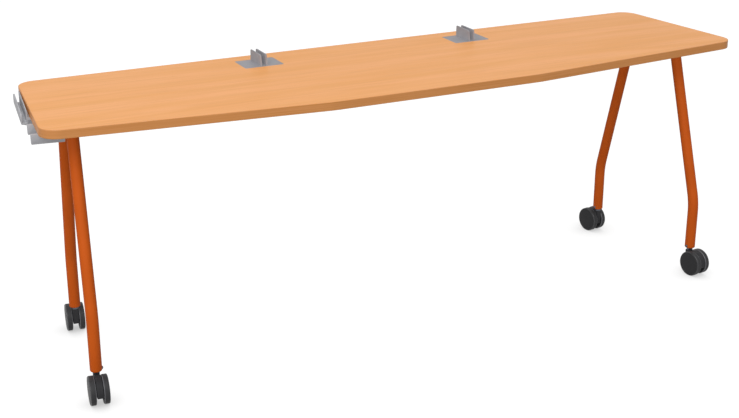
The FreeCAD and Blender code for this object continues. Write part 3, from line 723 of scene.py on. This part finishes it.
def geometry_tree(name: str, inputs: Sequence[Tuple[str, str]]) -> Tuple[Tree, Node]:
    """Start a geometry tree with one geometry in and one out.

    Args:
        name: The tree's name.
        inputs: Name and socket type of each further input.

    Returns:
        The tree and its input node.
    """
    tree = bpy.data.node_groups.new(name, "GeometryNodeTree")
    tree.interface.new_socket("Seed", in_out="INPUT", socket_type="NodeSocketGeometry")
    for label, kind in inputs:
        tree.interface.new_socket(label, in_out="INPUT", socket_type=kind)
    tree.interface.new_socket("Result", in_out="OUTPUT", socket_type="NodeSocketGeometry")
    return tree, add(tree, "NodeGroupInput")


def close_tree(tree: Tree, geometry: Socket, finish: Socket) -> None:
    """End a geometry tree with real meshes, painted.

    Args:
        tree: The tree.
        geometry: The socket of the geometry that it has made.
        finish: The socket of the material that the geometry gets.
    """
    real = add(tree, "GeometryNodeRealizeInstances", {"Geometry": geometry})
    painted = add(tree, "GeometryNodeSetMaterial", {"Geometry": real.outputs[0], "Material": finish})
    add(tree, "NodeGroupOutput", {"Result": painted.outputs[0]})


def grown(tree: Tree, seed: Mesh, inputs: Dict[str, Any]) -> Mesh:
    """Run a geometry tree on a seed mesh.

    Args:
        tree: The geometry tree.
        seed: The mesh that it starts from.
        inputs: Values of the tree's named inputs.

    Returns:
        The plain mesh that the tree makes.
    """
    holder = link("seed", seed)
    grower = holder.modifiers.new("grow", "NODES")
    grower.node_group = tree
    for item in tree.interface.items_tree:
        if item.name in inputs:
            grower[item.identifier] = inputs[item.name]
    return evaluated(holder)


class Assembly:
    """A group of pieces of the table, which are built and dressed together."""

    def build(self) -> None:
        """Build the meshes that stand for nodes of the frame, where the group has any."""

    def dress(self) -> None:
        """Give a finish to the nodes that stay as the frame has them, where the group has any."""


@dataclass
class Top(Assembly):
    """The board: core, laminate, balancing sheet and edge band, all as the frame has them."""

    def dress(self) -> None:
        """Give each sheet its finish."""
        coat(BEECH, ["top_laminate"])
        coat(BOARD, ["tabletop_core"])
        coat(BACKER, ["backing_sheet"])
        coat(EDGE, ["edge_band"])


@dataclass
class GreyFittings(Assembly):
    """The docks, the hook bracket and the steel under the top. Sizes are in millimetres."""

    dock_edge: float = 0.45
    hook_edge: float = 0.6
    steel_edge: float = 0.4

    def build(self) -> None:
        """Break the edges of the mouldings, clamps and mounts."""
        for node in nodes_ending("_dock"):
            soften(node, GREY, self.dock_edge)
        for node in nodes_ending("hook_bracket"):
            # Painted light: the paler grey lifts the shade in the hook's trough and under its arms.
            soften(node, GREY_WITH_PAINTED_LIGHT, self.hook_edge)
        for node in nodes_ending("dock_clamp", "leg_mount"):
            soften(node, GREY_STEEL, self.steel_edge)

    def dress(self) -> None:
        """Paint the channel, whose bends are drawn already."""
        coat(GREY_STEEL, ["stiffener_channel"])


@dataclass
class Legs(Assembly):
    """The four bent tubes and the sockets in their feet. Sizes are in millimetres."""

    tube_radius: float = 15.5
    foot_round: float = 3.5
    foot_steps: int = 6
    bend_height: float = 226.0
    bend_radius: float = 220.0
    bend_steps: int = 16
    sides: int = 48

    def tube_tree(self) -> Tree:
        """Tree that sweeps a round tube along a path, drawn in where the path's share is under 1.

        Returns:
            The tree.
        """
        tree, given = geometry_tree("bent_tube", [
            ("Tube Radius", "NodeSocketFloat"), ("Sides", "NodeSocketInt"), ("Finish", "NodeSocketMaterial"),
        ])
        path = add(tree, "GeometryNodeMeshToCurve", {"Mesh": given.outputs["Seed"]})
        share = add(tree, "GeometryNodeInputNamedAttribute", {"Name": "tube_share"}, data_type="FLOAT")
        ring = add(tree, "GeometryNodeCurvePrimitiveCircle", {
            "Resolution": given.outputs["Sides"], "Radius": given.outputs["Tube Radius"],
        })
        swept = add(tree, "GeometryNodeCurveToMesh", {
            "Curve": path.outputs["Curve"], "Profile Curve": ring.outputs["Curve"],
            "Scale": share.outputs["Attribute"], "Fill Caps": True,
        })
        close_tree(tree, swept.outputs["Mesh"], given.outputs["Finish"])
        return tree

    def head(self, node: str, height: float) -> Vector:
        """Find the middle of a leg's head.

        Args:
            node: The leg's node.
            height: Height of the head, in metres. Points up to a millimetre lower belong to it.

        Returns:
            The middle.
        """
        vertices = frame["nodes"][node].data.vertices
        low, high = box_round([vertex.co for vertex in vertices if vertex.co.z > height - MM])
        return (low + high) / 2

    def foot(self, start: Vector) -> Tuple[List[Vector], List[float]]:
        """Middle line of a leg's rolled-in foot.

        Args:
            start: Middle of the foot's lower face.

        Returns:
            Points upwards from there, and the tube's share of its full radius at each.
        """
        turns = [math.pi / 2 * step / self.foot_steps for step in range(self.foot_steps + 1)]
        points = [start + UP * self.foot_round * (1 - math.cos(turn)) * MM for turn in turns]
        shares = [1 - self.foot_round * (1 - math.sin(turn)) / self.tube_radius for turn in turns]
        return points, shares

    def path(self, corner: str) -> Mesh:
        """Middle line of one leg, from its rolled-in foot round the bend to its head.

        Args:
            corner: The table's corner that the leg stands at.

        Returns:
            A chain of edges with the tube's share of its full radius at each point.
        """
        node = corner + "_leg"
        low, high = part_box(node)
        stem = Vector(joint(corner + "_swivel")["pos_m"])
        head = self.head(node, high.z)
        bend = Vector((stem.x, stem.y, self.bend_height * MM))
        lean_way = (head - bend).normalized()
        lean = UP.angle(lean_way)
        inward = Vector((lean_way.x, lean_way.y, 0)).normalized()
        radius = self.bend_radius * MM
        arc_start = bend - UP * radius * math.tan(lean / 2)
        arc_middle = arc_start + inward * radius
        points, shares = self.foot(Vector((stem.x, stem.y, low.z)))
        for step in range(self.bend_steps + 1):
            turn = lean * step / self.bend_steps
            points.append(arc_middle - inward * radius * math.cos(turn) + UP * radius * math.sin(turn))
        # The tube ends square to its path, so it stops short for its highest edge to reach the level head.
        points.append(head - lean_way * self.tube_radius * MM * math.tan(lean))
        shares += [1.0] * (len(points) - len(shares))
        line = bpy.data.meshes.new(node + "_path")
        line.from_pydata(points, [(i, i + 1) for i in range(len(points) - 1)], [])
        line.attributes.new("tube_share", "FLOAT", "POINT").data.foreach_set("value", shares)
        return line

    def build(self) -> None:
        """Sweep the four tubes."""
        tree = self.tube_tree()
        for corner in CORNERS:
            tube = grown(tree, self.path(corner), {
                "Tube Radius": self.tube_radius * MM, "Sides": self.sides, "Finish": ORANGE.material(),
            })
            smooth(tube)
            place_piece(corner + "_bent_tube", tube, ORANGE, corner + "_leg")

    def dress(self) -> None:
        """Give the sockets in the feet their finish."""
        coat(CASTER, nodes_ending("caster_socket"))


@dataclass
class Casters(Assembly):
    """Four twin-wheel casters. Sizes are in millimetres.

    The faces and the end of the bore are places along the axle, out from its middle, and rim, hub, bore
    and tread are radii. A face of a tyre is on a shoulder where its slant, from 0 on the tread to 1 on the
    side, is in the span shoulder_slant.
    """

    inner_face: float = 9.5
    outer_face: float = 24.5
    crown: float = 1.0
    rim: float = 33.0
    rim_wall: float = 5.0
    web_face: float = 16.5
    hub: float = 8.5
    hub_face: float = 8.8
    bore: float = 4.08
    bore_end: float = 19.5
    tread: float = 38.0
    tread_round: float = 2.2
    seam: float = 0.35
    round_steps: int = 8
    crown_steps: int = 10
    turns: int = 72
    body_edge: float = 0.5
    shoulder_slant: Span = (0.15, 0.97)

    def disc_profile(self) -> Profile:
        """Outline of a wheel's disc, from its crown over the rim and the hub to its bore.

        Returns:
            Distance along the axle and radius of each point.
        """
        shares = [step / self.crown_steps for step in range(self.crown_steps + 1)]
        face = [
            (self.outer_face + self.crown * (1 - share**2), (self.rim - self.seam) * share)
            for share in shares
        ]
        return face + [
            (self.outer_face - self.seam, self.rim),
            (self.inner_face, self.rim),
            (self.inner_face, self.rim - self.rim_wall),
            (self.web_face, self.rim - self.rim_wall),
            (self.web_face, self.hub),
            (self.hub_face, self.hub),
            (self.hub_face, self.bore),
            (self.bore_end, self.bore),
            (self.bore_end, 0.0),
        ]

    def tyre_profile(self) -> Profile:
        """Outline of a tyre as a closed loop with rounded shoulders.

        Returns:
            Distance along the axle and radius of each point.
        """
        radius = self.tread_round
        centre = self.tread - radius
        outer = self.outer_face - radius
        inner = self.inner_face + radius
        seat = self.rim + self.seam / 2
        turns = [math.pi / 2 * step / self.round_steps for step in range(self.round_steps + 1)]
        rising = [(outer + radius * math.cos(turn), centre + radius * math.sin(turn)) for turn in turns]
        falling = [(inner - radius * math.sin(turn), centre + radius * math.cos(turn)) for turn in turns]
        bottom = [(self.inner_face, seat), (self.outer_face - self.seam, seat)]
        return rising + falling + bottom + [rising[0]]

    def turned(self, name: str, profile: Profile, place: Matrix) -> Mesh:
        """Turn a profile about the axle.

        Args:
            name: The mesh's name.
            profile: Distance along the axle and radius, in millimetres.
            place: Puts the axle's own X axis and middle in the frame.

        Returns:
            The turned mesh.
        """
        shape = bmesh.new()
        verts = [shape.verts.new((along * MM, 0, radius * MM)) for along, radius in profile]
        edges = [shape.edges.new(pair) for pair in zip(verts, verts[1:])]
        bmesh.ops.spin(
            shape, geom=verts + edges, axis=(1, 0, 0), cent=(0, 0, 0),
            steps=self.turns, angle=math.tau, use_merge=False,
        )
        bmesh.ops.remove_doubles(shape, verts=shape.verts[:], dist=WELD)
        bmesh.ops.transform(shape, matrix=place, verts=shape.verts[:])
        bmesh.ops.recalc_face_normals(shape, faces=shape.faces[:])
        mesh = meshed(shape, name)
        smooth(mesh)
        return mesh

    def mark_shoulders(self, tyre: Mesh, outward: Vector) -> None:
        """Make a tyre's outer shoulder glossy, and paint a pale highlight on its inner one.

        Args:
            tyre: The tyre's mesh, with its own finish in the first place.
            outward: Direction of the axle, away from the caster's body.
        """
        tyre.materials.append(POLISHED.material())
        outer_mark = len(tyre.materials) - 1
        tyre.materials.append(PAINTED_HIGHLIGHT_RUBBER.material())
        highlight_mark = len(tyre.materials) - 1
        low, high = self.shoulder_slant
        for face in tyre.polygons:
            slant = face.normal.dot(outward)
            if low < abs(slant) < high:
                # The outer shoulder gets the glossy rubber, and the inner one the pale painted highlight.
                face.material_index = outer_mark if slant > 0 else highlight_mark

    def build_wheel(self, name: str, roll: Dict[str, Any]) -> None:
        """Turn one wheel's disc and tyre.

        Args:
            name: The wheel's name, which starts the names of its nodes.
            roll: The joint that it rolls on.
        """
        axle = Vector(roll["pos_m"])
        outward = Vector(roll["axis"])
        low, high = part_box(name + "_wheel")
        if outward.dot((low + high) / 2 - axle) < 0:
            outward.negate()
        place = Matrix.Translation(axle) @ outward.to_track_quat("X", "Z").to_matrix().to_4x4()
        disc = self.turned(name + "_disc", self.disc_profile(), place)
        place_piece(name + "_disc", disc, CASTER, name + "_wheel")
        tyre = self.turned(name + "_tyre", self.tyre_profile(), place)
        place_piece(name + "_tyre", tyre, TREAD, name + "_tread")
        self.mark_shoulders(tyre, outward)

    def build(self) -> None:
        """Break the edges of the bodies, and turn every wheel."""
        for corner in CORNERS:
            soften(corner + "_caster_body", FORK, self.body_edge)
            for wheel in TwinWheel:
                self.build_wheel(f"{corner}_caster_{wheel.value}", joint(f"{corner}_{wheel.value}_roll"))

    def dress(self) -> None:
        """Give the stems and axles their finishes."""
        coat(NICKEL, nodes_ending("_stem"))
        coat(ZINC, nodes_ending("_axle"))


class Drive(Enum):
    """Recess in a screw's head."""

    CROSS = "cross"
    HEX = "hex"

    def reach(self, turn: float, size: float) -> float:
        """How far the recess reaches from the screw's middle in a direction.

        Args:
            turn: Direction round the head, in radians.
            size: Half of the recess across its arms or flats.

        Returns:
            The distance, in the unit of size.
        """
        step = math.pi / 3 if self is Drive.HEX else math.pi / 2
        off = abs((turn + step / 2) % step - step / 2)
        if self is Drive.CROSS and math.tan(off) > CROSS_ARM:
            return CROSS_ARM * size / math.sin(off)
        return size / math.cos(off)


@dataclass(frozen=True)
class Screw:
    """One kind of screw. Sizes are in millimetres, and its head points along its own +Z."""

    drive: Drive
    head_radius: float
    head_height: float
    shoulder: float
    flat_radius: float
    drive_size: float
    drive_depth: float
    shank_radius: float
    shank_length: float
    sides: int = 24

    def rings(self, turns: Sequence[float]) -> List[Tuple[List[float], float]]:
        """Rings of points from the recess out over the head and down the shank.

        Args:
            turns: Directions of the points round the screw, in radians.

        Returns:
            Radius in each direction, and height, of each ring.
        """
        top = self.head_height
        recess = [self.drive.reach(turn, self.drive_size) for turn in turns]
        crown = (self.flat_radius + self.head_radius) / 2
        crown_height = self.shoulder + (top - self.shoulder) * CROWN_RISE
        circles = [
            (self.flat_radius, top),
            (crown, crown_height),
            (self.head_radius, self.shoulder),
            (self.head_radius, 0.0),
            (self.shank_radius, 0.0),
            (self.shank_radius, -self.shank_length),
        ]
        rings = [(recess, top - self.drive_depth), (recess, top)]
        return rings + [([radius] * len(turns), height) for radius, height in circles]

    def mesh(self) -> Mesh:
        """Build the screw.

        Returns:
            The mesh, with the seat of the head at its origin.
        """
        turns = [math.tau * step / self.sides for step in range(self.sides)]
        shape = bmesh.new()
        layers = []
        for radii, height in self.rings(turns):
            layers.append([
                shape.verts.new((radius * math.cos(turn) * MM, radius * math.sin(turn) * MM, height * MM))
                for radius, turn in zip(radii, turns)
            ])
        for upper, lower in zip(layers, layers[1:]):
            for i in range(self.sides):
                following = (i + 1) % self.sides
                shape.faces.new((upper[i], lower[i], lower[following], upper[following]))
        shape.faces.new(layers[0])
        shape.faces.new(layers[-1][::-1])
        bmesh.ops.recalc_face_normals(shape, faces=shape.faces[:])
        mesh = meshed(shape, "screw_" + self.drive.value)
        smooth(mesh)
        return mesh


WOOD_SCREW = Screw(
    Drive.CROSS, head_radius=4.2, head_height=2.4, shoulder=1.2, flat_radius=2.6,
    drive_size=2.3, drive_depth=1.4, shank_radius=2.0, shank_length=13.0,
)
BUTTON_SCREW = Screw(
    Drive.HEX, head_radius=4.6, head_height=3.2, shoulder=0.4, flat_radius=2.3,
    drive_size=1.5, drive_depth=1.8, shank_radius=2.5, shank_length=6.4,
)


@dataclass
class Fasteners(Assembly):
    """Every screw of the table, set and painted by one tree on the places that the frame gives."""

    wood: Screw = WOOD_SCREW
    button: Screw = BUTTON_SCREW

    def screw_tree(self) -> Tree:
        """Tree that stands a screw on every point, all turned one way.

        Returns:
            The tree.
        """
        tree, given = geometry_tree("screw_set", [
            ("Screw", "NodeSocketObject"), ("Turn", "NodeSocketRotation"), ("Finish", "NodeSocketMaterial"),
        ])
        pattern = add(tree, "GeometryNodeObjectInfo", {"Object": given.outputs["Screw"], "As Instance": True})
        placed = add(tree, "GeometryNodeInstanceOnPoints", {
            "Points": given.outputs["Seed"], "Instance": pattern.outputs["Geometry"],
            "Rotation": given.outputs["Turn"],
        })
        close_tree(tree, placed.outputs["Instances"], given.outputs["Finish"])
        return tree

    def half_length(self, size: Vector, head_way: Vector) -> float:
        """Half the length of an upright or level screw from the size of its box.

        A level screw that lies askew has a longer box, by the width of its ends, which is the box's height.

        Args:
            size: The box along X, Y and Z.
            head_way: Direction that the head faces.

        Returns:
            Half of the screw's length.
        """
        along = sum(abs(way) * extent for way, extent in zip(head_way, size))
        ends = 2 * size.z * abs(head_way.x * head_way.y)
        return (along - ends) / 2

    def set_screws(self, node: str, screw: Screw, finish: Finish, head_way: Vector, tree: Tree) -> None:
        """Make the screws of one node.

        Args:
            node: The node that groups them.
            screw: Their kind.
            finish: Their finish.
            head_way: Direction that the heads face.
            tree: The tree that sets them.
        """
        seats = []
        for low, high in solids_of(node):
            seat = self.half_length(high - low, head_way) - screw.head_height * MM
            seats.append((low + high) / 2 + head_way * seat)
        seed = bpy.data.meshes.new(node + "_seats")
        seed.from_pydata(seats, [], [])
        pattern = link(node + "_pattern", screw.mesh())
        turn = head_way.to_track_quat("Z", "X").to_euler()
        made = grown(tree, seed, {"Screw": pattern, "Turn": turn, "Finish": finish.material()})
        bpy.data.objects.remove(pattern)
        place_piece(node + "_driven", made, finish, node)

    def build(self) -> None:
        """Set the upright wood screws and the level socket screws."""
        tree = self.screw_tree()
        for node in nodes_ending("dock_screws", "mount_screws", "channel_screws", "hook_screws"):
            self.set_screws(node, self.wood, ZINC, DOWN, tree)
        for side in Side:
            inward = Vector(joint(f"{side.word}_front_outer_roll")["axis"]) * -side.value
            self.set_screws(f"{side.word}_socket_screws", self.button, NICKEL, inward, tree)


@dataclass
class Studio:
    """Pale floor, soft light and the camera of the photograph.

    Places and reaches are in metres, the lens and sensor in millimetres, turns in degrees, and the lamps'
    powers in watts. The floor's glow is what the camera sees of it: dimmed beside the wheels as a painted
    contact shadow, and full in the open.
    The sky lights the table at the strength sky, and the camera sees it at the strength white.
    """

    lens: float = 67.2
    sensor: float = 36.0
    camera_place: Triple = (-1.6904, -3.2892, 1.678)
    camera_tilt: float = 69.51
    camera_turn: float = -26.32
    floor_reach: float = 40.0
    floor_colour: str = "909090"
    floor_glow: Span = (0.40, 0.88)
    floor_shade: str = "898989"
    contact_reach: float = 0.19
    sky_colour: str = "FFFFFF"
    sky: float = 0.45
    white: float = 1.0
    lamp_size: float = 7.0
    lamp_place: Triple = (-5.0, -6.4, 7.9)
    lamp_aim: Triple = (0.0, 0.0, 0.5)
    key_power: float = 300.0
    fill_power: float = 570.0

    def build(self) -> None:
        """Set up everything round the object."""
        bpy.context.scene.view_settings.view_transform = "Standard"
        self.lay_floor()
        self.light_sky()
        self.hang_lamp("softbox", self.key_power, True)
        self.hang_lamp("shadowless_fill", self.fill_power, False)
        self.place_camera()

    def lay_floor(self) -> None:
        """Lay a floor that shows as white, less so beside the wheels, and takes the shadow."""
        mesh = bpy.data.meshes.new("floor")
        reach = self.floor_reach
        corners = [(-reach, -reach, 0), (reach, -reach, 0), (reach, reach, 0), (-reach, reach, 0)]
        mesh.from_pydata(corners, [], [(0, 1, 2, 3)])
        mesh.materials.append(self.paper())
        floor = link("floor", mesh)

    def paper(self) -> bpy.types.Material:
        """Build the floor's paper.

        Returns:
            The material, matt grey to the light and glowing white to the camera.
        """
        paper = bpy.data.materials.new("white_paper_floor")
        paper.use_nodes = True
        tree = paper.node_tree
        tree.nodes.clear()
        low, high = self.floor_glow
        matt = add(tree, "ShaderNodeBsdfDiffuse", {"Color": linear(self.floor_colour)})
        shade = add(tree, "ShaderNodeBsdfDiffuse", {"Color": linear(self.floor_shade)})
        # Beside the wheels the glow dims by ambient occlusion: a painted contact shadow.
        painted_contact_shadow = add(tree, "ShaderNodeAmbientOcclusion", {"Distance": self.contact_reach})
        level = add(tree, "ShaderNodeMapRange", {
            "Value": painted_contact_shadow.outputs["AO"], "To Min": low, "To Max": high,
        })
        glow = add(tree, "ShaderNodeEmission", {"Strength": level.outputs["Result"]})
        bright = add(tree, "ShaderNodeAddShader", {0: shade.outputs[0], 1: glow.outputs[0]})
        chosen = add(tree, "ShaderNodeMixShader", {
            0: self.seen_rays(tree), 1: matt.outputs[0], 2: bright.outputs[0],
        })
        add(tree, "ShaderNodeOutputMaterial", {"Surface": chosen.outputs[0]})
        return paper

    def seen_rays(self, tree: Tree) -> Socket:
        """Tell the rays that show the background, straight, in a reflection or through something clear.

        Args:
            tree: The tree of the floor's material or of the world.

        Returns:
            A socket that is 1 for those rays and 0 for the rest.
        """
        rays = add(tree, "ShaderNodeLightPath")
        seen = rays.outputs["Is Camera Ray"]
        for kind in ("Is Glossy Ray", "Is Transmission Ray"):
            either = add(tree, "ShaderNodeMath", {0: seen, 1: rays.outputs[kind]}, operation="MAXIMUM")
            seen = either.outputs[0]
        return seen

    def light_sky(self) -> None:
        """Fill from a plain sky, which the camera sees as white."""
        world = bpy.data.worlds.new("white_sky")
        bpy.context.scene.world = world
        world.use_nodes = True
        tree = world.node_tree
        tree.nodes.clear()
        strength = add(tree, "ShaderNodeMapRange", {
            "Value": self.seen_rays(tree), "To Min": self.sky, "To Max": self.white,
        })
        sky = add(tree, "ShaderNodeBackground", {
            "Color": linear(self.sky_colour), "Strength": strength.outputs["Result"],
        })
        add(tree, "ShaderNodeOutputWorld", {"Surface": sky.outputs[0]})

    def hang_lamp(self, name: str, power: float, shadows: bool) -> None:
        """Hang a large soft lamp above the table's front.

        Args:
            name: The lamp's name.
            power: Its power in watts.
            shadows: False for a fill, which reaches under the top and into the slots.
        """
        lamp = bpy.data.lights.new(name, "AREA")
        lamp.shape = "DISK"
        lamp.size = self.lamp_size
        lamp.energy = power
        lamp.use_shadow = shadows
        hung = link(name, lamp)
        hung.location = self.lamp_place
        aim = Vector(self.lamp_aim) - Vector(self.lamp_place)
        hung.rotation_euler = aim.to_track_quat("-Z", "Y").to_euler()

    def place_camera(self) -> None:
        """Stand the camera where the photograph was taken."""
        lens = bpy.data.cameras.new("photo_camera")
        lens.lens = self.lens
        lens.sensor_width = self.sensor
        lens.sensor_fit = "HORIZONTAL"
        camera = link("photo_camera", lens)
        camera.location = self.camera_place
        camera.rotation_euler = (math.radians(self.camera_tilt), 0.0, math.radians(self.camera_turn))
        bpy.context.scene.camera = camera


def main() -> None:
    """Build the studio and the table's groups in order."""
    logging.basicConfig(level=logging.INFO)
    Studio().build()
    for group in (GreyFittings(), Legs(), Casters(), Fasteners(), Top()):
        group.build()
        group.dress()


if __name__ == "__main__":
    main()
